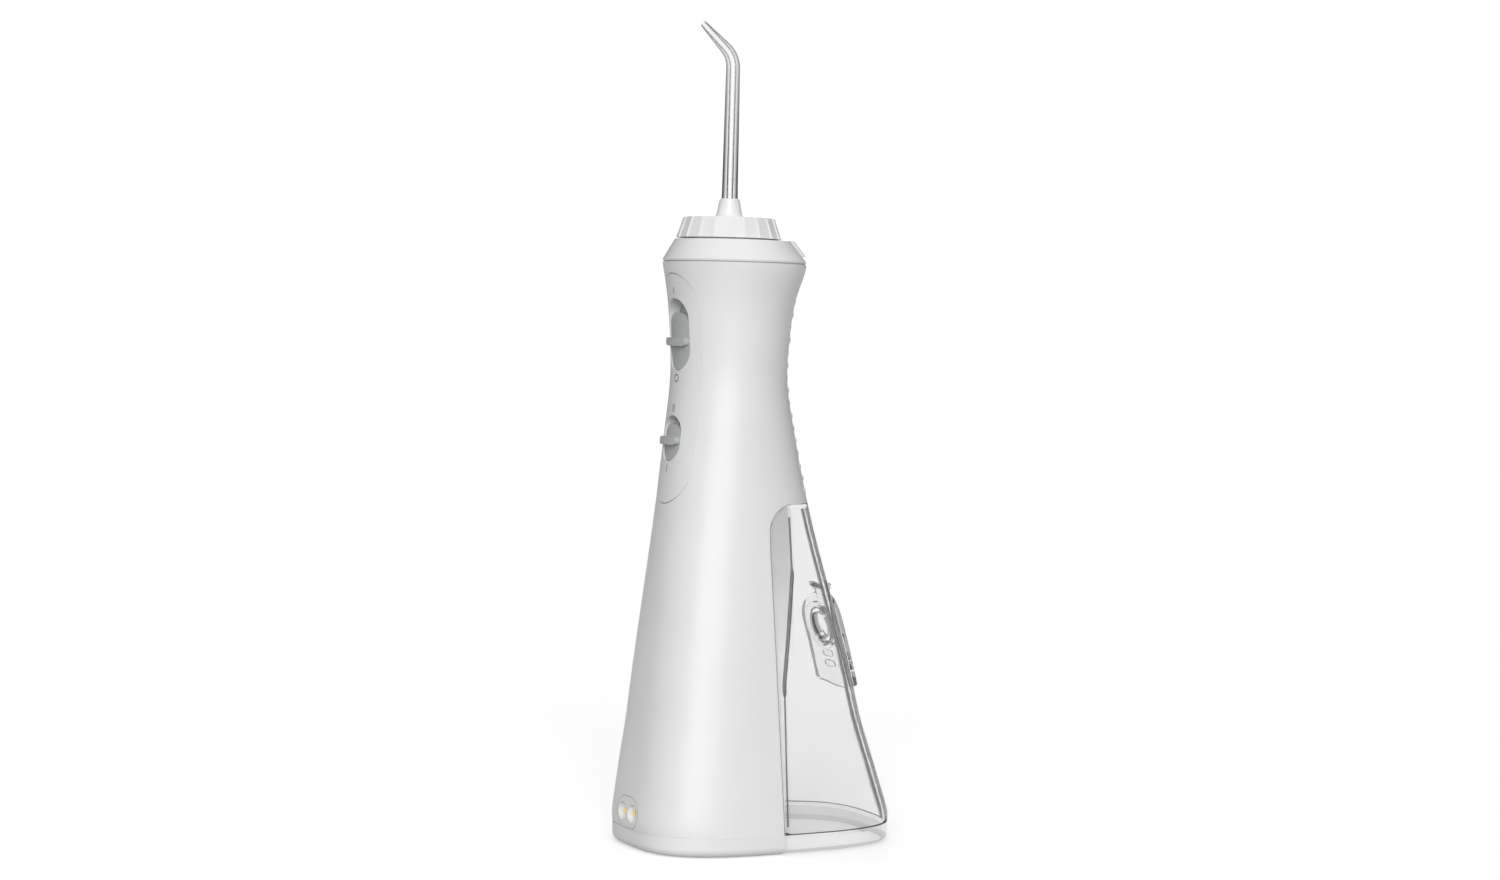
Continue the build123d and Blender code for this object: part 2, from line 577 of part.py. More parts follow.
with BuildPart() as reservoir:
    add(outer & side_block(FLANGE_EDGE, FLANGE_CORNER, FLANGE_EDGE[-1]))
    add(body_form(FLANGE, 3) - side_block(PARTING), mode=Mode.SUBTRACT)
    add(rod_y(INLET_X, INLET_Z, 5.5, -1, 5.5))
    add(tank_space.part - rod_y(INLET_X, INLET_Z, 5.5, -4, 5.5), mode=Mode.SUBTRACT)
    add(rod_y(INLET_X, INLET_Z, SPIGOT_RADIUS + 0.25, -10, 8), mode=Mode.SUBTRACT)
    # fill opening with its neck, hinge groove and lugs
    with BuildSketch(BACK_PLANE.offset(-3.6)):
        with Locations((0, FILL_V)):
            Circle(FILL_RADIUS + 1.6)
    extrude(amount=3)
    with BuildSketch(BACK_PLANE.offset(-6)):
        with Locations((0, FILL_V)):
            Circle(FILL_RADIUS)
    extrude(amount=12, mode=Mode.SUBTRACT)
    for side in (-1, 1):
        add(hinge_lug(side))
    add(hinge_rod(HINGE_RADIUS + GAP, KNUCKLE_HALF + GAP), mode=Mode.SUBTRACT)
    add(hinge_rod(PIN_RADIUS, 20), mode=Mode.SUBTRACT)
save(reservoir.part, "reservoir")

with BuildPart() as reservoir_base:
    add(base_form(0, 0, BASE_TOP, BASE_ROUND) - base_front(BASE_SPLIT))
    add(base_form(TANK_WALL, -1, BASE_TOP - 1.6) - base_front(BASE_SPLIT + TANK_WALL), mode=Mode.SUBTRACT)
save(reservoir_base.part, "reservoir_base")

with BuildPart() as inlet_spigot:
    add(rod_y(INLET_X, INLET_Z, SPIGOT_RADIUS, -6.5, 4.5))
    add(rod_y(INLET_X, INLET_Z, 4.4, -6.4, -5.0))
    add(rod_y(INLET_X, INLET_Z, HOSE_BORE - FIT, -10, -6))
    add(rod_y(INLET_X, INLET_Z, 0.9, -20, 20), mode=Mode.SUBTRACT)
    add(ring_y(INLET_X, 1.5, INLET_Z, 2.75, 0.5), mode=Mode.SUBTRACT)
save(inlet_spigot.part, "inlet_spigot")

with BuildPart() as inlet_o_ring:
    add(ring_y(INLET_X, 1.5, INLET_Z, 2.75, 0.45))
save(inlet_o_ring.part, "inlet_o_ring")

# ---------------------------------------------------------------- fill door
with BuildPart() as fill_door:
    with BuildSketch(BACK_PLANE.offset(-8)):
        with BuildLine():
            low = ThreePointArc((-DOOR_HALF, DOOR_LOW + 2.2), (0, DOOR_LOW), (DOOR_HALF, DOOR_LOW + 2.2))
            Polyline(low @ 1, (DOOR_HALF, DOOR_HIGH), (-DOOR_HALF, DOOR_HIGH), low @ 0)
        make_face()
        fillet(vertices().group_by(Axis.Y)[-1], 10.5)
        fillet(vertices().group_by(Axis.Y)[0], 2.5)
    extrude(amount=16)
    add(body_form(-DOOR_RISE), mode=Mode.INTERSECT)
    add(body_form(-GAP), mode=Mode.SUBTRACT)
    # knuckle and its web
    add(hinge_rod(HINGE_RADIUS, KNUCKLE_HALF))
    with BuildSketch(BACK_PLANE.offset(0.5)):
        with Locations((0, (DOOR_HIGH + HINGE_V) / 2 - 1)):
            Rectangle(2 * KNUCKLE_HALF, HINGE_V - DOOR_HIGH + 2)
    extrude(amount=1.2)
    add(hinge_rod(PIN_RADIUS + FIT, 20), mode=Mode.SUBTRACT)
    # plug that closes the fill opening
    with BuildSketch(BACK_PLANE.offset(-3.0)):
        with Locations((0, FILL_V)):
            Circle(PLUG_RADIUS)
            Circle(PLUG_RADIUS - 1.3, mode=Mode.SUBTRACT)
    extrude(amount=3.8)
    with BuildSketch(BACK_PLANE.offset(-3.0)):
        with Locations((0, FILL_V)):
            Circle(PLUG_RADIUS + 0.4)
            Circle(PLUG_RADIUS - 1.3, mode=Mode.SUBTRACT)
    extrude(amount=0.7)
    # thumb grip: two columns of low pads near the free end
    for x in (-5.2, 5.2):
        for v in (-9.5, -13.5):
            with BuildSketch(BACK_PLANE.offset(0.8)):
                with Locations((x, v)):
                    SlotOverall(7.0, 2.4)
            extrude(amount=DOOR_RISE - 0.5)
save(fill_door.part, "fill_door")

with BuildPart() as door_seal:
    with BuildSketch(Plane(origin=BACK_PLANE.origin, x_dir=BACK_PLANE.x_dir, z_dir=-BACK_PLANE.y_dir)):
        with Locations((PLUG_RADIUS + 0.42, SEAL_DEPTH)):
            Circle(0.4)
    revolve(axis=Axis(BACK_PLANE.origin, BACK_PLANE.z_dir))
door_seal_placed = door_seal.part.moved(Location(BACK_PLANE.y_dir * FILL_V))
save(door_seal_placed, "door_seal")

with BuildPart() as door_hinge_pin:
    add(hinge_rod(PIN_RADIUS, KNUCKLE_HALF + GAP + LUG_WIDTH + 0.1))
save(door_hinge_pin.part, "door_hinge_pin")

# ---------------------------------------------------------------- chassis and cells
with BuildPart() as chassis:
    plan = body_form(FLANGE + GAP + WALL + 1.6, 3)
    plan = plan - side_block(shifted(PARTING, -GAP - WALL - 0.5)) - port_room
    add(plan & slab(SHELF_Z - 1.7, SHELF_Z))
    add(plan & slab(TRAY_Z - 1.6, TRAY_Z))
    for x, y in SCREW_PLACES:
        add(rod_z(x, y, 2.8, BASE_FLOOR + 2.45, SHELF_Z - 1))
        add(rod_z(x, y, 1.5, 0, 14), mode=Mode.SUBTRACT)
    for side in (-1, 1):
        collar_ring = rod_z(side * CELL_X, CELL_Y, CELL_RADIUS + 1.4, TRAY_Z - 1, TRAY_Z + 6)
        add(collar_ring - rod_z(side * CELL_X, CELL_Y, CELL_RADIUS + FIT, TRAY_Z, TRAY_Z + 7))
    for side in (-1, 1):
        add(rod_z(side * CELL_X, CELL_Y, CELL_RADIUS + FIT, TRAY_Z, TRAY_Z + 7), mode=Mode.SUBTRACT)
    add(rod_z(HOSE_X, HOSE_Y, HOSE_RADIUS + GAP, 34, 64), mode=Mode.SUBTRACT)
save(chassis.part, "chassis")

with BuildPart() as battery_cells:
    for side in (-1, 1):
        add(rod_z(side * CELL_X, CELL_Y, CELL_RADIUS, TRAY_Z + 0.05, TRAY_Z + 48))
        add(rod_z(side * CELL_X, CELL_Y, 2.6, TRAY_Z + 47, TRAY_Z + 49.5))
save(battery_cells.part, "battery_cells")

# ---------------------------------------------------------------- motor
MOTOR_BACK = MOTOR_FACE - MOTOR_LENGTH
with BuildPart() as motor_can:
    add(rod_x(MOTOR_Y, MOTOR_Z, MOTOR_RADIUS, MOTOR_BACK + 2, MOTOR_FACE))
    add(rod_x(MOTOR_Y, MOTOR_Z, 3.0, MOTOR_FACE, MOTOR_FACE + 1.6))
    add(rod_x(MOTOR_Y, MOTOR_Z, MOTOR_RADIUS - 1, MOTOR_BACK, MOTOR_FACE - 1), mode=Mode.SUBTRACT)
    add(rod_x(MOTOR_Y, MOTOR_Z, SHAFT_RADIUS + FIT, 0, 20), mode=Mode.SUBTRACT)
save(motor_can.part, "motor_can")

with BuildPart() as motor_end_cap:
    add(rod_x(MOTOR_Y, MOTOR_Z, MOTOR_RADIUS - 0.3, MOTOR_BACK, MOTOR_BACK + 2))
    add(rod_x(MOTOR_Y, MOTOR_Z, MOTOR_RADIUS - 1.05, MOTOR_BACK + 1, MOTOR_BACK + 3.2))
    for side in (-1, 1):
        z = MOTOR_Z + side * 7
        add(block(MOTOR_BACK - 1.6, MOTOR_BACK + 0.5, MOTOR_Y - 1, MOTOR_Y + 1, z - 0.3, z + 0.3))
    add(rod_x(MOTOR_Y, MOTOR_Z, SHAFT_RADIUS + FIT, -40, 0), mode=Mode.SUBTRACT)
save(motor_end_cap.part, "motor_end_cap")

with BuildPart() as motor_magnets:
    add(rod_x(MOTOR_Y, MOTOR_Z, MOTOR_RADIUS - 1.05, -9, 6) - rod_x(MOTOR_Y, MOTOR_Z, 9.2, -10, 7))
    add(block(-10, 7, MOTOR_Y - 3, MOTOR_Y + 3, MOTOR_Z - 15, MOTOR_Z + 15), mode=Mode.SUBTRACT)
save(motor_magnets.part, "motor_magnets")

with BuildPart() as motor_rotor:
    add(rod_x(MOTOR_Y, MOTOR_Z, SHAFT_RADIUS, MOTOR_BACK - 0.6, GEAR_X + 4.1))
    with BuildSketch(Plane.YZ.offset(-8)):
        with Locations((MOTOR_Y, MOTOR_Z)):
            Circle(8.6)
            with PolarLocations(7.0, 3):
                Rectangle(3.4, 1.2, mode=Mode.SUBTRACT)
            with PolarLocations(5.4, 3):
                Circle(1.6, mode=Mode.SUBTRACT)
    extrude(amount=13)
    add(rod_x(MOTOR_Y, MOTOR_Z, 3.2, -13, -8))
save(motor_rotor.part, "motor_rotor")


# ---------------------------------------------------------------- gears
def gear_outline(teeth, centre_z, first_tooth, addendum=0.72, dedendum=1.1, thinning=0.04, flank_steps=5):
    """(Y, Z) points of a spur gear with involute flanks. first_tooth is one tooth's direction in degrees."""
    pitch = MODULE * teeth / 2
    base = pitch * cos(radians(20))
    tip = pitch + addendum * MODULE
    root = pitch - dedendum * MODULE
    half_tooth = pi / (2 * teeth) - thinning / pitch

    def involute(radius):
        roll = (max(radius / base, 1.0) ** 2 - 1) ** 0.5
        return roll - atan(roll)

    flank = []
    start = max(root, base)
    for step in range(flank_steps + 1):
        radius = start + (tip - start) * step / flank_steps
        flank.append((radius, half_tooth + involute(pitch) - involute(radius)))
    points = []
    for tooth in range(teeth):
        middle = radians(first_tooth) + 2 * pi * tooth / teeth
        right = [(root, middle - flank[0][1])] if root < base else []
        right += [(radius, middle - angle) for radius, angle in flank]
        left = [(radius, 2 * middle - angle) for radius, angle in reversed(right)]
        for radius, angle in right + left:
            points.append((MOTOR_Y + radius * cos(angle), centre_z + radius * sin(angle)))
    return points


with BuildPart() as drive_pinion:
    with BuildSketch(Plane.YZ.offset(GEAR_X)):
        with BuildLine():
            Polyline(*gear_outline(PINION_TEETH, MOTOR_Z, 90 + 180 / PINION_TEETH), close=True)
        make_face()
        with Locations((MOTOR_Y, MOTOR_Z)):
            Circle(SHAFT_RADIUS, mode=Mode.SUBTRACT)
    extrude(amount=GEAR_WIDTH)
save(drive_pinion.part, "drive_pinion")

with BuildPart() as drive_gear:
    with BuildSketch(Plane.YZ.offset(GEAR_X)):
        with BuildLine():
            Polyline(*gear_outline(GEAR_TEETH, GEAR_Z, -90), close=True)
        make_face()
        with Locations((MOTOR_Y, GEAR_Z)):
            Circle(AXLE_RADIUS + FIT, mode=Mode.SUBTRACT)
            with PolarLocations(7.6, 6, start_angle=30):
                Circle(1.9, mode=Mode.SUBTRACT)
    extrude(amount=GEAR_WIDTH)
    add(rod_x(MOTOR_Y, GEAR_Z + CRANK, 0.9, GEAR_X - 1.2, GEAR_X + 1))
    add(rod_x(MOTOR_Y, GEAR_Z, AXLE_RADIUS + FIT, GEAR_X, GEAR_X + 5), mode=Mode.SUBTRACT)
save(drive_gear.part, "drive_gear")

with BuildPart() as gear_axle:
    add(rod_x(MOTOR_Y, GEAR_Z, AXLE_RADIUS, GEAR_X + 0.1, PLATE_X + 1.8))
save(gear_axle.part, "gear_axle")

with BuildPart() as gear_bracket:
    add(block(MOTOR_FACE, MOTOR_FACE + 1.6, -26, -8.5, SHELF_Z, 84))
    add(block(MOTOR_FACE, PLATE_X + 1.8, -26, -8.5, SHELF_Z, SHELF_Z + 1.6))
    add(block(PLATE_X, PLATE_X + 1.8, -24, -10.5, SHELF_Z, BORE_LOW))
    add(block(6, PLATE_X + 1.8, -23.2, -10.8, BORE_LOW - 1.5, BORE_LOW))
    add(rod_z(ROD_X, MOTOR_Y, BORE_RADIUS + 0.2, 95, 110), mode=Mode.SUBTRACT)
    add(rod_x(MOTOR_Y, MOTOR_Z, 3.05, 0, MOTOR_FACE + 3), mode=Mode.SUBTRACT)
    add(rod_x(MOTOR_Y, GEAR_Z, AXLE_RADIUS, PLATE_X - 1, 30), mode=Mode.SUBTRACT)
    for side in (-1, 1):
        add(rod_x(MOTOR_Y + side * 6, MOTOR_Z, 1.3, 0, MOTOR_FACE + 3), mode=Mode.SUBTRACT)
save(gear_bracket.part, "gear_bracket")

with BuildPart() as motor_screws:
    for side in (-1, 1):
        add(rod_x(MOTOR_Y + side * 6, MOTOR_Z, 1.25, MOTOR_FACE, MOTOR_FACE + 1.65))
        add(rod_x(MOTOR_Y + side * 6, MOTOR_Z, 2.0, MOTOR_FACE + 1.65, MOTOR_FACE + 2.6))
save(motor_screws.part, "motor_screws")

# ---------------------------------------------------------------- pump
EYE_Z = GEAR_Z + CRANK
with BuildPart() as connecting_rod:
    add(rod_x(MOTOR_Y, EYE_Z, 2.6, ROD_X - 1, ROD_X + 1))
    add(block(ROD_X - 1, ROD_X + 1, MOTOR_Y - 1.5, MOTOR_Y + 1.5, EYE_Z, WRIST_Z))
    add(rod_x(MOTOR_Y, WRIST_Z, 2.2, ROD_X - 1, ROD_X + 1))
    add(rod_x(MOTOR_Y, WRIST_Z, 0.8 + FIT, 0, 30), mode=Mode.SUBTRACT)
    add(rod_x(MOTOR_Y, EYE_Z, 0.9 + FIT, 0, 30), mode=Mode.SUBTRACT)
save(connecting_rod.part, "connecting_rod")

with BuildPart() as piston:
    add(rod_z(ROD_X, MOTOR_Y, BORE_RADIUS - FIT, WRIST_Z - 3, WRIST_Z + 8))
    rod_slot = block(ROD_X - 1.3, ROD_X + 1.3, MOTOR_Y - 6, MOTOR_Y + 6, WRIST_Z - 4, WRIST_Z + 2.8)
    add(rod_slot, mode=Mode.SUBTRACT)
    add(rod_x(MOTOR_Y, WRIST_Z, 0.8, 0, 30), mode=Mode.SUBTRACT)
    add(ring_z(ROD_X, MOTOR_Y, WRIST_Z + 6, BORE_RADIUS - 0.5, 0.5), mode=Mode.SUBTRACT)
save(piston.part, "piston")

with BuildPart() as piston_seal:
    add(ring_z(ROD_X, MOTOR_Y, WRIST_Z + 6, BORE_RADIUS - 0.5, 0.45))
save(piston_seal.part, "piston_seal")

with BuildPart() as wrist_pin:
    add(rod_x(MOTOR_Y, WRIST_Z, 0.8, ROD_X - 3.4, ROD_X + 3.4))
save(wrist_pin.part, "wrist_pin")

with BuildPart() as pump_cylinder:
    add(rod_z(ROD_X, MOTOR_Y, 6.0, BORE_LOW, BORE_HIGH))
    add(block(ROD_X - 6, ROD_X + 8, MOTOR_Y - 6, MOTOR_Y + 6, BORE_LOW, BORE_LOW + 1.8))
    add(rod_z(ROD_X, MOTOR_Y, BORE_RADIUS, BORE_LOW - 1, BORE_HIGH + 1), mode=Mode.SUBTRACT)
save(pump_cylinder.part, "pump_cylinder")

with BuildPart() as pump_head:
    add(block(ROD_X - 8.5, ROD_X + 6, SPOOL_Y - 2.4, MOTOR_Y + 6, BORE_HIGH, HEAD_TOP))
    fillet(edges().filter_by(Axis.Z), 2.0)
    add(rod_z(ROD_X, MOTOR_Y, 1.95, HEAD_TOP - 1, HEAD_TOP + 4))
    add(rod_x(MOTOR_Y, INTAKE_Z, HOSE_BORE - FIT, ROD_X - 12, ROD_X - 8))
    add(rod_z(ROD_X, MOTOR_Y, 3.0, BORE_HIGH - 1, BORE_HIGH + 3.5), mode=Mode.SUBTRACT)
    add(rod_z(ROD_X, MOTOR_Y, 1.2, BORE_HIGH, HEAD_TOP + 6), mode=Mode.SUBTRACT)
    add(rod_z(ROD_X, MOTOR_Y, 2.6, OUTLET_VALVE_Z, OUTLET_VALVE_Z + 1.4), mode=Mode.SUBTRACT)
    add(rod_x(MOTOR_Y, INTAKE_Z, 0.9, ROD_X - 14, ROD_X - 2), mode=Mode.SUBTRACT)
    add(rod_x(MOTOR_Y, INTAKE_Z, 2.2, ROD_X - 6, ROD_X - 4.6), mode=Mode.SUBTRACT)
    add(rod_z(SPOOL_X, SPOOL_Y, 1.5 + FIT, BORE_HIGH + 1, HEAD_TOP + 1), mode=Mode.SUBTRACT)
save(pump_head.part, "pump_head")

with BuildPart() as intake_valve:
    add(rod_x(MOTOR_Y, INTAKE_Z, 2.1, ROD_X - 5.95, ROD_X - 5.45))
save(intake_valve.part, "intake_valve")

with BuildPart() as outlet_valve:
    add(rod_z(ROD_X, MOTOR_Y, 2.5, OUTLET_VALVE_Z + 0.05, OUTLET_VALVE_Z + 0.55))
save(outlet_valve.part, "outlet_valve")

outlet_points = [(ROD_X, MOTOR_Y, HEAD_TOP + 0.1), (ROD_X, MOTOR_Y, 152)]
outlet_points += [(0, NOZZLE_Y, 177), (0, NOZZLE_Y, 196.9)]
save(hose(outlet_points, 12, 3.0, 2.0), "outlet_tube")

inlet_points = [(INLET_X, -6.6, INLET_Z), (INLET_X, -14, INLET_Z)]
inlet_points += [(HOSE_X, HOSE_Y, 30), (HOSE_X, HOSE_Y, 90)]
inlet_points += [(-5, MOTOR_Y, 114), (-5, MOTOR_Y, INTAKE_Z), (ROD_X - 8.6, MOTOR_Y, INTAKE_Z)]
save(hose(inlet_points, [4.5, 10, 25, 12, 4.5], HOSE_RADIUS, HOSE_BORE), "inlet_hose")

# ---------------------------------------------------------------- circuit board
with BuildPart() as circuit_board:
    add(block(-9, 9, BOARD_Y, BOARD_Y + 1.2, 153, 198))
    add(block(-6, 0, BOARD_Y + 1.2, BOARD_Y + 2.6, 160, 166))
    add(block(2, 7, BOARD_Y + 1.2, BOARD_Y + 2.2, 170, 175))
    for z in (182, 186, 190):
        add(block(-7, -4, BOARD_Y + 1.2, BOARD_Y + 2.0, z, z + 1.6))
save(circuit_board.part, "circuit_board")

with BuildPart() as power_switch:
    add(block(-4, 4, -28.6, BOARD_Y, 175, 190))
    add(block(-1.6, 1.6, -29, BOARD_Y - 0.8, 178.6, 186.5), mode=Mode.SUBTRACT)
save(power_switch.part, "power_switch")
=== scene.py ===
import json
import math

import bpy
from mathutils import Matrix, Vector
from mathutils.bvhtree import BVHTree


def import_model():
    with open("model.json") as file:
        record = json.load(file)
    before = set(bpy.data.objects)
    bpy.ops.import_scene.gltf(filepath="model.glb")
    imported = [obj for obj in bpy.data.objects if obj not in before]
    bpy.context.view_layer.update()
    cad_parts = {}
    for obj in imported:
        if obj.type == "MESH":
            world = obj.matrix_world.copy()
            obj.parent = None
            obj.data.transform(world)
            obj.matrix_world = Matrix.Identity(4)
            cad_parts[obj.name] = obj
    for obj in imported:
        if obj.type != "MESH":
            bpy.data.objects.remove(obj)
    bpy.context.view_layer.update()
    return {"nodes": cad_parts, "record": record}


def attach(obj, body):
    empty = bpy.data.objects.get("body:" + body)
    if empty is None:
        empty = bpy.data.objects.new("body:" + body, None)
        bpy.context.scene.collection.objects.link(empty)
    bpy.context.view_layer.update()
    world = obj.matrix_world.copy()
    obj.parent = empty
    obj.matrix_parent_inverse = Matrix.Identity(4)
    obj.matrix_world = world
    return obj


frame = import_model()
nodes = frame["nodes"]

# Camera and light. Lengths are in metres, and azimuths in degrees, round from -Y towards +X.
CAMERA_AZIMUTH, CAMERA_PITCH, CAMERA_ROLL = 61.95, 2.42, 1.51
CAMERA_PLACE, CAMERA_LENS, CAMERA_SHIFT = (0.8775, -0.4829, 0.1871), 66.49, 0.01786
KEY_AZIMUTH, FRONT_RISE, BACK_RISE = 61.5, 0.25, 0.08
WHITE_SKY, DIM_SKY, SIDE_SKY = 1.05, 0.18, 0.1
GLOW_FROM, GLOW_TO = 0.1, 0.5  # cosines off straight away from the camera, between which the sky brightens
FLOOR_RADIUS, FLOOR_DROP, FLOOR_GLOW = 30, 0.0002, 0.385

# Grip bumps round the back of the handle
BUMP_TOP, BUMP_ROWS, BUMP_PITCH = 0.195, 16, 0.0045
BUMP_RADIUS, BUMP_RISE, BUMP_SINK, BUMP_SIDES = 0.0012, 0.00045, 0.00005, 12
BUMP_TURNS = (-21, -7, 7, 21), (-28, -14, 0, 14, 28)  # even rows and odd rows, in degrees from +Y
BUMP_RINGS = (0.35, 0.65, 0.87, 1.0)  # shares of a bump's radius
HANDLE_Y = -0.013  # the middle that the bumps spread round

# Marks on the switch panel, and a line of painted shade round the charging port
MARK_WIDTH, MARK_RING, MARK_RADIUS, MARK_LIFT = 0.0004, 0.1671, 0.0015, 0.00003
MARK_BARS = [  # X, low Z and high Z
    (0, 0.197, 0.1992), (-0.0006, 0.155, 0.1578), (0.0006, 0.155, 0.1578), (0, 0.1338, 0.1364)
]
RUNGS, RING_SIDES, PORT_SIDES = 7, 40, 64
PORT_Z, PORT_HALF, PORT_RADII = 0.0126, 0.0023, (0.00558, 0.0058)

# Dark beads of painted shade where the reservoir's front wall meets its sides
WALL_LINE = [(0.007, -0.0025), (0.060, -0.0031), (0.099, 0.0013), (0.121, 0.0010)]  # parting wall, Z and Y
BEAD_LOW, BEAD_HIGH, BEAD_STEPS, BEAD_SIDES = 0.0095, 0.1185, 56, 6
BEAD_GAP, BEAD_SHIFT, BEAD_THIN, BEAD_THICK = 0.0024, 0.0018, 0.0003, 0.0007
BEND_LOW, BEND_HIGH = 0.057, 0.099  # the beads are thick between these heights
TANK_WALL = 0.0019  # how far inside the reservoir's outer face the beads lie
OUTSIDE = 0.08  # rays that look for a surface start this far out

# Where a clear part's look changes with height
TIP_FADE = (0.24, 0.283)
WING_BACK, WING_HAZE, WING_FADE = 0.0008, 0.16, (0.06, 0.112)  # the reservoir's flange, drawn darker ahead of WING_BACK between the WING_FADE heights

# Faces that get a look of their own. The first line says how far a unit normal has to go in a direction.
FACING, SLANTED, DOOR_EDGE, DOOR_BOTTOM, INWARDS = 0.9, 0.4, 0.75, 0.8, 0.25
RIM_FRONT = -0.0033  # faces of the reservoir ahead of this Y are the front edge of its flange, which gets painted shade
DOOR_DOWN = Vector((0, 0.277, -0.961))  # down the slope of the back
SEAM_LOW, SEAM_HIGH, SEAM_INSIDE = 0.2084, 0.20887, 0.005  # the reveal under the collar, whose floor gets painted shade
FOOT_TOP = 0.012  # faces of the reservoir that look down below this height are its joint with the foot
TANK_MIDDLE = (0.022, -0.14)  # the reservoir's middle line: Y at Z = 0, and how Y changes with Z
SHARP_ANGLE = 25  # degrees


# ---------------------------------------------------------------- materials
def new_material(name):
    """A material, its node tree and its shader."""
    material = bpy.data.materials.new(name)
    material.use_nodes = True
    tree = material.node_tree
    return material, tree, tree.nodes["Principled BSDF"]


def link_math(tree, operation, first, second):
    """A Math node whose inputs are sockets or plain numbers."""
    step = tree.nodes.new("ShaderNodeMath")
    step.operation = operation
    for index, value in enumerate((first, second)):
        if hasattr(value, "links"):
            tree.links.new(value, step.inputs[index])
        else:
            step.inputs[index].default_value = value
    return step.outputs[0]


def noise(tree, scale, detail=2.0):
    """A noise texture in the piece's own coordinates."""
    place = tree.nodes.new("ShaderNodeTexCoord")
    texture = tree.nodes.new("ShaderNodeTexNoise")
    texture.inputs["Scale"].default_value = scale
    texture.inputs["Detail"].default_value = detail
    texture.inputs["Roughness"].default_value = 0.5
    tree.links.new(place.outputs["Object"], texture.inputs["Vector"])
    return texture


def mottle(tree, shader, color, spread, scale):
    """Base colour that wanders a little round color."""
    texture = noise(tree, scale, 3)
    ramp = tree.nodes.new("ShaderNodeValToRGB")
    low = [max(0, c * (1 - spread)) for c in color]
    high = [min(1, c * (1 + spread)) for c in color]
    ramp.color_ramp.elements[0].position = 0.3
    ramp.color_ramp.elements[0].color = (*low, 1)
    ramp.color_ramp.elements[1].position = 0.7
    ramp.color_ramp.elements[1].color = (*high, 1)
    tree.links.new(texture.outputs["Fac"], ramp.inputs["Fac"])
    tree.links.new(ramp.outputs["Color"], shader.inputs["Base Color"])


def bump(tree, shader, scale, strength, distance, detail=2.0):
    """Fine relief."""
    texture = noise(tree, scale, detail)
    relief = tree.nodes.new("ShaderNodeBump")
    relief.inputs["Strength"].default_value = strength
    relief.inputs["Distance"].default_value = distance
    tree.links.new(texture.outputs["Fac"], relief.inputs["Height"])
    tree.links.new(relief.outputs["Normal"], shader.inputs["Normal"])


def vary_roughness(tree, shader, low, high, scale):
    """Roughness that wanders from low to high."""
    texture = noise(tree, scale, 4)
    spread = tree.nodes.new("ShaderNodeMapRange")
    spread.inputs["To Min"].default_value = low
    spread.inputs["To Max"].default_value = high
    tree.links.new(texture.outputs["Fac"], spread.inputs["Value"])
    tree.links.new(spread.outputs["Result"], shader.inputs["Roughness"])


def plastic(name, color, rough, grain=9000, grain_depth=0.00001):
    material, tree, shader = new_material(name)
    mottle(tree, shader, color, 0.012, 60)
    vary_roughness(tree, shader, rough - 0.03, rough + 0.03, 220)
    bump(tree, shader, grain, 0.25, grain_depth)
    shader.inputs["IOR"].default_value = 1.49
    return material


def metal(name, color, rough):
    material, tree, shader = new_material(name)
    shader.inputs["Metallic"].default_value = 1.0
    mottle(tree, shader, color, 0.05, 300)
    vary_roughness(tree, shader, rough - 0.06, rough + 0.08, 900)
    bump(tree, shader, 2500, 0.15, 0.00001)
    return material


def smooth_range(tree, value, start, end, top=1.0):
    """A Map Range node that rises smoothly from 0 at start to top at end."""
    span = tree.nodes.new("ShaderNodeMapRange")
    span.interpolation_type = "SMOOTHSTEP"
    span.inputs["From Min"].default_value = start
    span.inputs["From Max"].default_value = end
    span.inputs["To Max"].default_value = top
    tree.links.new(value, span.inputs["Value"])
    return span.outputs["Result"]


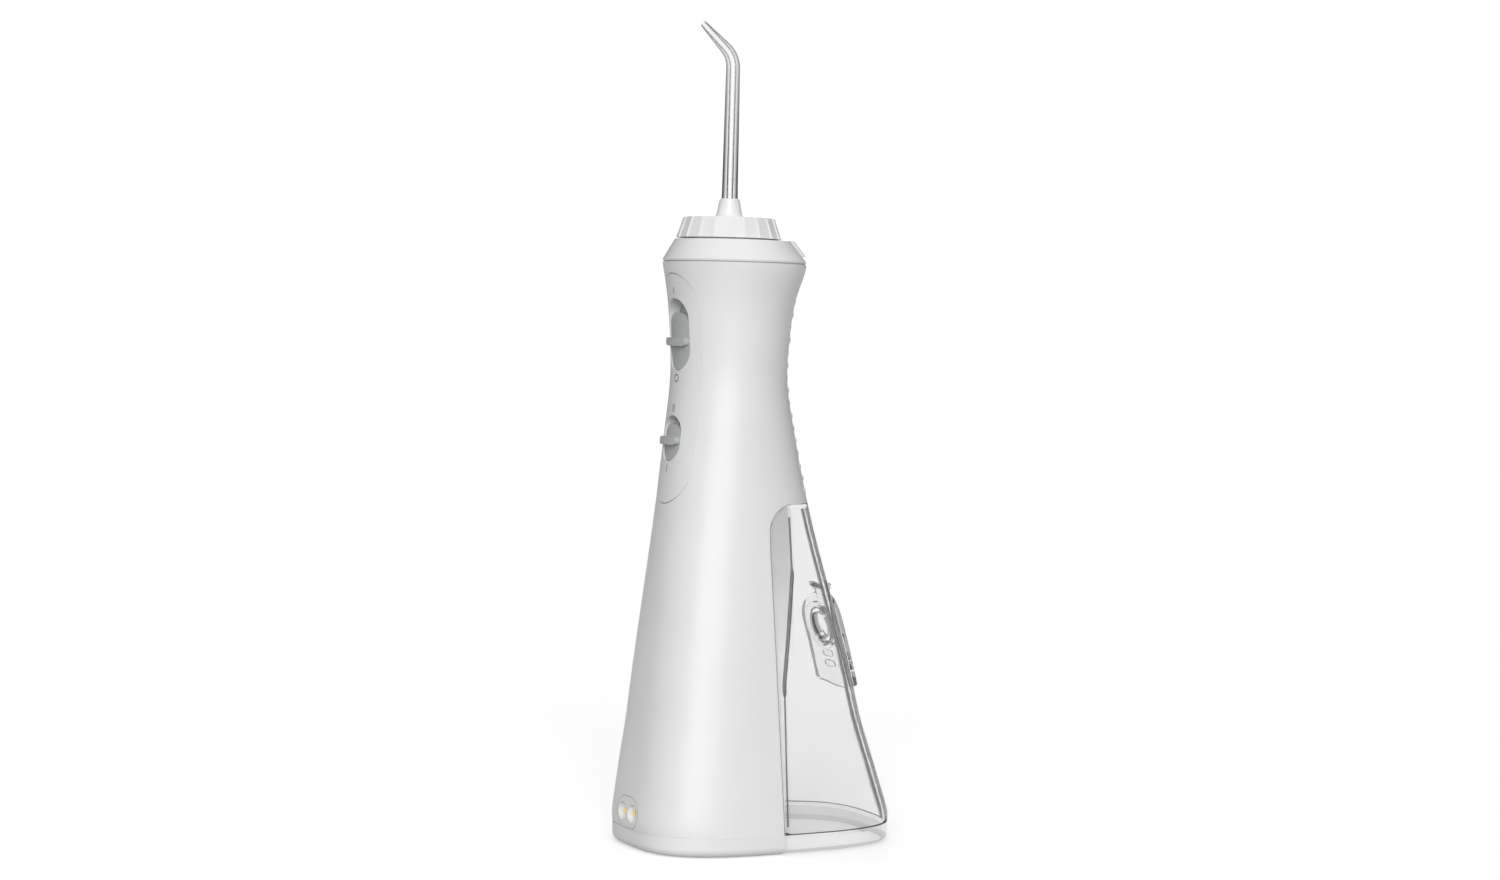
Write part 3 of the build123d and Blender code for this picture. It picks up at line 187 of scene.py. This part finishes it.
def clear(name, ior, edge, haze, ripple=0.02, fade=None, wing=None):
    """Clear plastic with painted shade on faces that turn away from the view. edge is where that painted
    shade starts and ends on Layer Weight, as a surface turns away from the view, and its share. haze is the
    share of a dull film and the film's grey. fade is two heights, between which the painted shade halves.
    wing is two heights, between which the part ahead of WING_BACK takes WING_HAZE more of the film and turns
    darker."""
    haze_share, haze_grey = haze
    material, tree, shader = new_material(name)
    shader.inputs["Transmission Weight"].default_value = 1.0
    shader.inputs["IOR"].default_value = ior
    mottle(tree, shader, (0.988, 0.988, 0.988), 0.004, 40)
    vary_roughness(tree, shader, 0.0, 0.01, 120)
    bump(tree, shader, 55, ripple, 0.0002, 1.0)
    film = tree.nodes.new("ShaderNodeBsdfPrincipled")
    film.inputs["Base Color"].default_value = (haze_grey, haze_grey, haze_grey, 1)
    film.inputs["Roughness"].default_value = 0.3
    shade = tree.nodes.new("ShaderNodeBsdfPrincipled")
    shade.inputs["Base Color"].default_value = (0.062, 0.063, 0.065, 1)
    shade.inputs["Roughness"].default_value = 0.25
    turn = tree.nodes.new("ShaderNodeLayerWeight")
    turn.inputs["Blend"].default_value = 0.5
    veil, rim = tree.nodes.new("ShaderNodeMixShader"), tree.nodes.new("ShaderNodeMixShader")
    veil.inputs["Fac"].default_value = haze_share
    tree.links.new(shader.outputs["BSDF"], veil.inputs[1])
    tree.links.new(film.outputs["BSDF"], veil.inputs[2])
    # painted shade: a near-black shader mixed in where the surface turns away from the view
    dark = smooth_range(tree, turn.outputs["Facing"], *edge)
    if fade or wing:
        place, split = tree.nodes.new("ShaderNodeTexCoord"), tree.nodes.new("ShaderNodeSeparateXYZ")
        tree.links.new(place.outputs["Object"], split.inputs["Vector"])
    if wing:
        more = smooth_range(tree, split.outputs["Z"], *wing, top=WING_HAZE)
        ahead = link_math(tree, "LESS_THAN", split.outputs["Y"], WING_BACK)
        total = link_math(tree, "ADD", link_math(tree, "MULTIPLY", more, ahead), haze_share)
        tree.links.new(total, veil.inputs["Fac"])
    if fade:
        less = tree.nodes.new("ShaderNodeMapRange")
        less.inputs["From Min"].default_value, less.inputs["From Max"].default_value = fade
        less.inputs["To Min"].default_value, less.inputs["To Max"].default_value = 1.0, 0.5
        tree.links.new(split.outputs["Z"], less.inputs["Value"])
        dark = link_math(tree, "MULTIPLY", dark, less.outputs["Result"])
    tree.links.new(dark, rim.inputs["Fac"])
    tree.links.new(veil.outputs["Shader"], rim.inputs[1])
    tree.links.new(shade.outputs["BSDF"], rim.inputs[2])
    tree.links.new(rim.outputs["Shader"], tree.nodes["Material Output"].inputs["Surface"])
    return material


shell_white = plastic("shell_white", (0.86, 0.86, 0.855), 0.36)
panel_white = plastic("panel_white", (0.845, 0.85, 0.85), 0.42)
slider_grey = plastic("slider_grey", (0.50, 0.51, 0.515), 0.5, grain=6000, grain_depth=0.00002)
bezel_grey = plastic("bezel_grey", (0.85, 0.85, 0.845), 0.3)
inner_plastic = plastic("inner_plastic", (0.66, 0.66, 0.64), 0.45)
gear_plastic = plastic("gear_plastic", (0.82, 0.79, 0.7), 0.4)
board_green = plastic("board_green", (0.05, 0.2, 0.09), 0.35)
switch_black = plastic("switch_black", (0.02, 0.02, 0.02), 0.4)
seal_rubber = plastic("seal_rubber", (0.03, 0.03, 0.032), 0.65, grain=4000, grain_depth=0.00002)
door_seal_rubber = plastic("door_seal_rubber", (0.62, 0.63, 0.63), 0.5, grain=4000, grain_depth=0.00002)
hose_silicone = plastic("hose_silicone", (0.7, 0.7, 0.68), 0.4)
cell_sleeve = plastic("cell_sleeve", (0.05, 0.2, 0.11), 0.3)
mark_ink = plastic("mark_ink", (0.12, 0.125, 0.13), 0.5)
# painted shade: the floor of the collar's reveal and the line round the charging port
seam_shade = plastic("seam_shade", (0.42, 0.42, 0.42), 0.6)
steel = metal("steel", (0.6, 0.6, 0.61), 0.3)
magnet = metal("magnet", (0.35, 0.35, 0.36), 0.35)
rotor_iron = metal("rotor_iron", (0.35, 0.3, 0.26), 0.45)
contact_gold = metal("contact_gold", (0.85, 0.6, 0.2), 0.25)
# The clear looks carry painted shade on faces that turn away from the view, strongest on tank_inside and
# tip_clear
tank_clear = clear("tank_clear", 1.08, edge=(0.93, 1.0, 0.6), haze=(0.06, 0.22), wing=WING_FADE)
tank_inside = clear("tank_inside", 1.08, edge=(0.62, 0.72, 0.9), haze=(0.03, 0.2))
# painted shade: dark lines on the front edge of the reservoir's flange, on the fill door's edges and on the
# beads along the parting wall
tank_rim_shade = clear("tank_rim_shade", 1.08, edge=(0.5, 0.97, 0.8), haze=(0.6, 0.12), ripple=0.05)
tank_foot = clear("tank_foot", 1.005, edge=(0.96, 1.0, 0.3), haze=(0.16, 0.9), ripple=0.05)
# painted shade: a dark band on the foot's rounded lower edge
foot_edge_shade = clear("foot_edge_shade", 1.005, edge=(0.9, 1.0, 0.3), haze=(0.3, 0.12), ripple=0.05)
door_clear = clear("door_clear", 1.16, edge=(0.9, 0.995, 0.5), haze=(0.03, 0.25))
tip_clear = clear("tip_clear", 1.12, edge=(0.0, 0.55, 0.9), haze=(0.01, 0.2), ripple=0.0, fade=TIP_FADE)

LOOKS = {
    "shell_white": shell_white, "panel_white": panel_white, "slider_grey": slider_grey,
    "bezel_grey": bezel_grey, "tank_clear": tank_clear, "tip_clear": tip_clear,
    "contact_gold": contact_gold, "seal_rubber": seal_rubber, "door_seal_rubber": door_seal_rubber,
    "steel": steel, "magnet": magnet, "cell_sleeve": cell_sleeve, "rotor_iron": rotor_iron,
    "inner_plastic": inner_plastic, "gear_plastic": gear_plastic, "hose_silicone": hose_silicone,
    "board_green": board_green, "switch_black": switch_black,
}


# ---------------------------------------------------------------- looks of the nodes
def shade_smooth(mesh):
    for polygon in mesh.polygons:
        polygon.use_smooth = True


def looks_by_face(node, looks, pick):
    """Gives a node several looks. pick says which of them a face gets."""
    mesh = nodes[node].data
    mesh.materials.clear()
    for look in looks:
        mesh.materials.append(look)
    for polygon in mesh.polygons:
        polygon.material_index = pick(polygon)


def reservoir_look(polygon):
    """Outside, inside, the front edge of the flange in painted shade, or the joint with the foot."""
    centre, normal = polygon.center, polygon.normal
    inwards = Vector((-centre.x, TANK_MIDDLE[0] + TANK_MIDDLE[1] * centre.z - centre.y, 0))
    if normal.y < -FACING and centre.y < RIM_FRONT:
        return 2
    if normal.z < -FACING and centre.z < FOOT_TOP:
        return 3
    return int(normal.dot(inwards) > INWARDS * inwards.length)


def foot_look(polygon):
    """Everything else, or the rounded lower edge, which gets painted shade."""
    return int(-FACING < polygon.normal.z < -SLANTED)


def door_look(polygon):
    """Everything else, or the edges towards -X and down the slope, which get painted shade."""
    return int(polygon.normal.x < -DOOR_EDGE or polygon.normal.dot(DOOR_DOWN) > DOOR_BOTTOM)


def collar_look(polygon):
    """Everything else, or the floor of the reveal, which gets painted shade."""
    centre = polygon.center
    return int(SEAM_LOW < centre.z < SEAM_HIGH and centre.xy.length > SEAM_INSIDE)


for subpart in frame["record"]["subparts"]:
    skin = nodes[subpart["node"]].data
    skin.materials.clear()
    skin.materials.append(LOOKS[subpart["material_slot"]])
    shade_smooth(skin)
    skin.set_sharp_from_angle(angle=math.radians(SHARP_ANGLE))
looks_by_face("reservoir", (tank_clear, tank_inside, tank_rim_shade, tank_foot), reservoir_look)
looks_by_face("reservoir_base", (tank_foot, foot_edge_shade), foot_look)
looks_by_face("fill_door", (door_clear, tank_rim_shade), door_look)
looks_by_face("collar", (shell_white, seam_shade), collar_look)


# ---------------------------------------------------------------- surface pieces
def surface(*names):
    """A tree of some nodes' faces, for casting rays at."""
    points, faces = [], []
    for name in names:
        mesh, first = nodes[name].data, len(points)
        points += [vertex.co.copy() for vertex in mesh.vertices]
        faces += [[first + index for index in polygon.vertices] for polygon in mesh.polygons]
    return BVHTree.FromPolygons(points, faces)


def add_piece(name, points, faces, look, body="root"):
    """A mesh that rides a body."""
    mesh = bpy.data.meshes.new(name)
    mesh.from_pydata(points, [], faces)
    mesh.materials.append(look)
    shade_smooth(mesh)
    piece = bpy.data.objects.new(name, mesh)
    bpy.context.scene.collection.objects.link(piece)
    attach(piece, body)


def grip_bumps():
    """Rows of low domes round the back of the handle."""
    tree = surface("main_housing")
    points, faces = [], []
    for row in range(BUMP_ROWS):
        height = BUMP_TOP - row * BUMP_PITCH
        for turn in BUMP_TURNS[row % 2]:
            outwards = Vector((math.sin(math.radians(turn)), math.cos(math.radians(turn)), 0))
            start = Vector((0, HANDLE_Y, height)) + outwards * OUTSIDE
            spot, normal = tree.ray_cast(start, -outwards)[:2]
            across = normal.cross(Vector((0, 0, 1))).normalized()
            along = across.cross(normal)
            first = len(points)
            points.append(spot + normal * BUMP_RISE)
            for share in BUMP_RINGS:
                lift = BUMP_RISE * math.sqrt(1 - share**2) - BUMP_SINK
                for step in range(BUMP_SIDES):
                    angle = 2 * math.pi * step / BUMP_SIDES
                    side = across * math.cos(angle) + along * math.sin(angle)
                    points.append(spot + side * BUMP_RADIUS * share + normal * lift)
            for step in range(BUMP_SIDES):
                after = (step + 1) % BUMP_SIDES
                faces.append((first, first + 1 + step, first + 1 + after))
                for ring in range(len(BUMP_RINGS) - 1):
                    low = first + 1 + ring * BUMP_SIDES
                    faces.append(
                        (low + step, low + BUMP_SIDES + step, low + BUMP_SIDES + after, low + after)
                    )
    add_piece("grip_bumps", points, faces, shell_white)


def line_at(line, height):
    """The value at a height on a line given as pairs of height and value."""
    for (low, first), (high, second) in zip(line, line[1:]):
        if height <= high:
            return first + (second - first) * (height - low) / (high - low)
    return line[-1][1]


def parting_shade_beads():
    """Dark beads of painted shade where the reservoir's front wall meets its sides, inside."""
    tree = surface("reservoir")
    points, faces = [], []
    for side in (-1, 1):
        first = len(points)
        for step in range(BEAD_STEPS):
            height = BEAD_LOW + (BEAD_HIGH - BEAD_LOW) * step / (BEAD_STEPS - 1)
            front = BEAD_GAP + line_at(WALL_LINE, height)
            outside = tree.ray_cast(Vector((side * OUTSIDE, front, height)), Vector((-side, 0, 0)))[0]
            spot = outside - Vector((side * TANK_WALL, BEAD_SHIFT, 0))
            radius = BEAD_THICK if BEND_LOW < height < BEND_HIGH else BEAD_THIN
            for corner in range(BEAD_SIDES):
                angle = 2 * math.pi * corner / BEAD_SIDES
                points.append(spot + Vector((radius * math.cos(angle), radius * math.sin(angle), 0)))
        for step in range(BEAD_STEPS - 1):
            low = first + BEAD_SIDES * step
            high = low + BEAD_SIDES
            for corner in range(BEAD_SIDES):
                after = (corner + 1) % BEAD_SIDES
                faces.append((low + corner, low + after, high + after, high + corner))
        for end in (first, first + BEAD_SIDES * (BEAD_STEPS - 1)):
            faces.append(tuple(range(end, end + BEAD_SIDES)))
    add_piece("parting_shade_beads", points, faces, tank_rim_shade, "tank")


def strip(loop, *names):
    """Points in X and Z laid on the front of some nodes."""
    tree = surface(*names)
    lift = Vector((0, -MARK_LIFT, 0))
    return [tree.ray_cast(Vector((x, -OUTSIDE, z)), Vector((0, 1, 0)))[0] + lift for x, z in loop]


def ring_faces(first, count):
    """Faces of a closed band whose points come in pairs, inner then outer."""
    return [
        (first + 2 * k, first + 2 * k + 1, first + (2 * k + 3) % count, first + (2 * k + 2) % count)
        for k in range(count // 2)
    ]


def switch_marks():
    """Off and on marks at the power slot, low and high marks at the pressure slot."""
    points, faces = [], []
    for middle, low, high in MARK_BARS:
        first = len(points)
        rungs = [low + (high - low) * step / (RUNGS - 1) for step in range(RUNGS)]
        edges = (middle - MARK_WIDTH / 2, middle + MARK_WIDTH / 2)
        points += strip([(x, z) for z in rungs for x in edges], "switch_panel")
        faces += [(k, k + 1, k + 3, k + 2) for k in range(first, first + 2 * RUNGS - 2, 2)]
    faces += ring_faces(len(points), 2 * RING_SIDES)
    turns = [2 * math.pi * step / RING_SIDES for step in range(RING_SIDES)]
    radii = (MARK_RADIUS - MARK_WIDTH, MARK_RADIUS)
    ring = [(r * math.cos(a), MARK_RING + r * math.sin(a)) for a in turns for r in radii]
    points += strip(ring, "switch_panel")
    add_piece("switch_marks", points, faces, mark_ink)


def port_line():
    """A line of painted shade along the joint between the charging port's bezel and the housing."""
    turns = [2 * math.pi * step / PORT_SIDES for step in range(PORT_SIDES)]
    loop = [
        (math.copysign(PORT_HALF, math.cos(a)) + r * math.cos(a), PORT_Z + r * math.sin(a))
        for a in turns
        for r in PORT_RADII
    ]
    points = strip(loop, "main_housing", "base_cap", "charge_bezel")
    add_piece("port_line", points, ring_faces(0, 2 * PORT_SIDES), seam_shade)


# ---------------------------------------------------------------- camera, light and floor
def camera():
    """The camera, which looks across at the object, a little down, and is rolled a little."""
    azimuth, pitch, roll = (math.radians(turn) for turn in (CAMERA_AZIMUTH, CAMERA_PITCH, CAMERA_ROLL))
    back = Vector((math.sin(azimuth), -math.cos(azimuth), 0))
    forward = -back * math.cos(pitch) - Vector((0, 0, 1)) * math.sin(pitch)
    right = Vector((math.cos(azimuth), math.sin(azimuth), 0))
    up = right.cross(forward)
    right, up = (
        right * math.cos(roll) + up * math.sin(roll), up * math.cos(roll) - right * math.sin(roll)
    )
    data = bpy.data.cameras.new("camera")
    data.lens = CAMERA_LENS
    data.sensor_width = 36
    data.shift_x = CAMERA_SHIFT
    data.clip_start = 0.01
    view = bpy.data.objects.new("camera", data)
    bpy.context.scene.collection.objects.link(view)
    rows = Matrix((right, up, -forward)).transposed().to_4x4()
    view.matrix_world = Matrix.Translation(CAMERA_PLACE) @ rows
    bpy.context.scene.camera = view


def world():
    """White for the camera, dim for other rays, and brighter on the far side for rays through glass."""
    sky = bpy.data.worlds.new("studio")
    bpy.context.scene.world = sky
    sky.use_nodes = True
    tree = sky.node_tree
    background = tree.nodes["Background"]
    path = tree.nodes.new("ShaderNodeLightPath")
    place = tree.nodes.new("ShaderNodeTexCoord")
    along = tree.nodes.new("ShaderNodeVectorMath")
    along.operation = "DOT_PRODUCT"
    azimuth = math.radians(CAMERA_AZIMUTH)
    along.inputs[1].default_value = (-math.sin(azimuth), math.cos(azimuth), 0)
    tree.links.new(place.outputs["Generated"], along.inputs[0])
    glow = tree.nodes.new("ShaderNodeMapRange")
    glow.interpolation_type = "SMOOTHSTEP"
    glow.inputs["From Min"].default_value = GLOW_FROM
    glow.inputs["From Max"].default_value = GLOW_TO
    glow.inputs["To Min"].default_value = SIDE_SKY
    tree.links.new(along.outputs["Value"], glow.inputs["Value"])
    through = link_math(tree, "MULTIPLY", path.outputs["Is Transmission Ray"], glow.outputs["Result"])
    seen = link_math(tree, "MULTIPLY", path.outputs["Is Camera Ray"], WHITE_SKY)
    strength = link_math(tree, "MAXIMUM", link_math(tree, "MAXIMUM", through, seen), DIM_SKY)
    tree.links.new(strength, background.inputs["Strength"])
    background.inputs["Color"].default_value = (1, 1, 1, 1)


def floor():
    """A wide, flat, pale floor, which meets the white sky far away."""
    bpy.ops.mesh.primitive_circle_add(
        vertices=128, radius=FLOOR_RADIUS, fill_type="NGON", location=(0, 0, -FLOOR_DROP)
    )
    ground = bpy.context.object
    ground.name = "floor"
    material, tree, shader = new_material("floor_paper")
    mottle(tree, shader, (0.93, 0.93, 0.93), 0.004, 3)
    shader.inputs["Roughness"].default_value = 0.9
    shader.inputs["Emission Color"].default_value = (1, 1, 1, 1)
    shader.inputs["Emission Strength"].default_value = FLOOR_GLOW
    ground.data.materials.append(material)
    ground.visible_diffuse = False


def sun(name, energy, spread, towards):
    """A sun lamp that shines from the direction towards, with its spread in degrees."""
    data = bpy.data.lights.new(name, "SUN")
    data.energy = energy
    data.angle = math.radians(spread)
    lamp = bpy.data.objects.new(name, data)
    lamp.rotation_euler = towards.to_track_quat("Z", "Y").to_euler()
    bpy.context.scene.collection.objects.link(lamp)
    return lamp


def lights():
    """A wide sun overhead, one in front, and a low one behind that brightens the back and isn't reflected."""
    azimuth = math.radians(KEY_AZIMUTH)
    ahead, behind = (Vector((side * math.sin(azimuth), -side * math.cos(azimuth), 0)) for side in (1, -1))
    rise = Vector((0, 0, 1))
    sun("overhead", energy=0.85, spread=80, towards=rise)
    sun("front", energy=2.55, spread=44, towards=ahead + rise * FRONT_RISE)
    back = sun("back", energy=1.7, spread=12, towards=behind + rise * BACK_RISE)
    back.visible_transmission = False
    back.visible_glossy = False


grip_bumps()
switch_marks()
parting_shade_beads()
port_line()
camera()
world()
floor()
lights()
bpy.context.scene.view_settings.view_transform = "Standard"
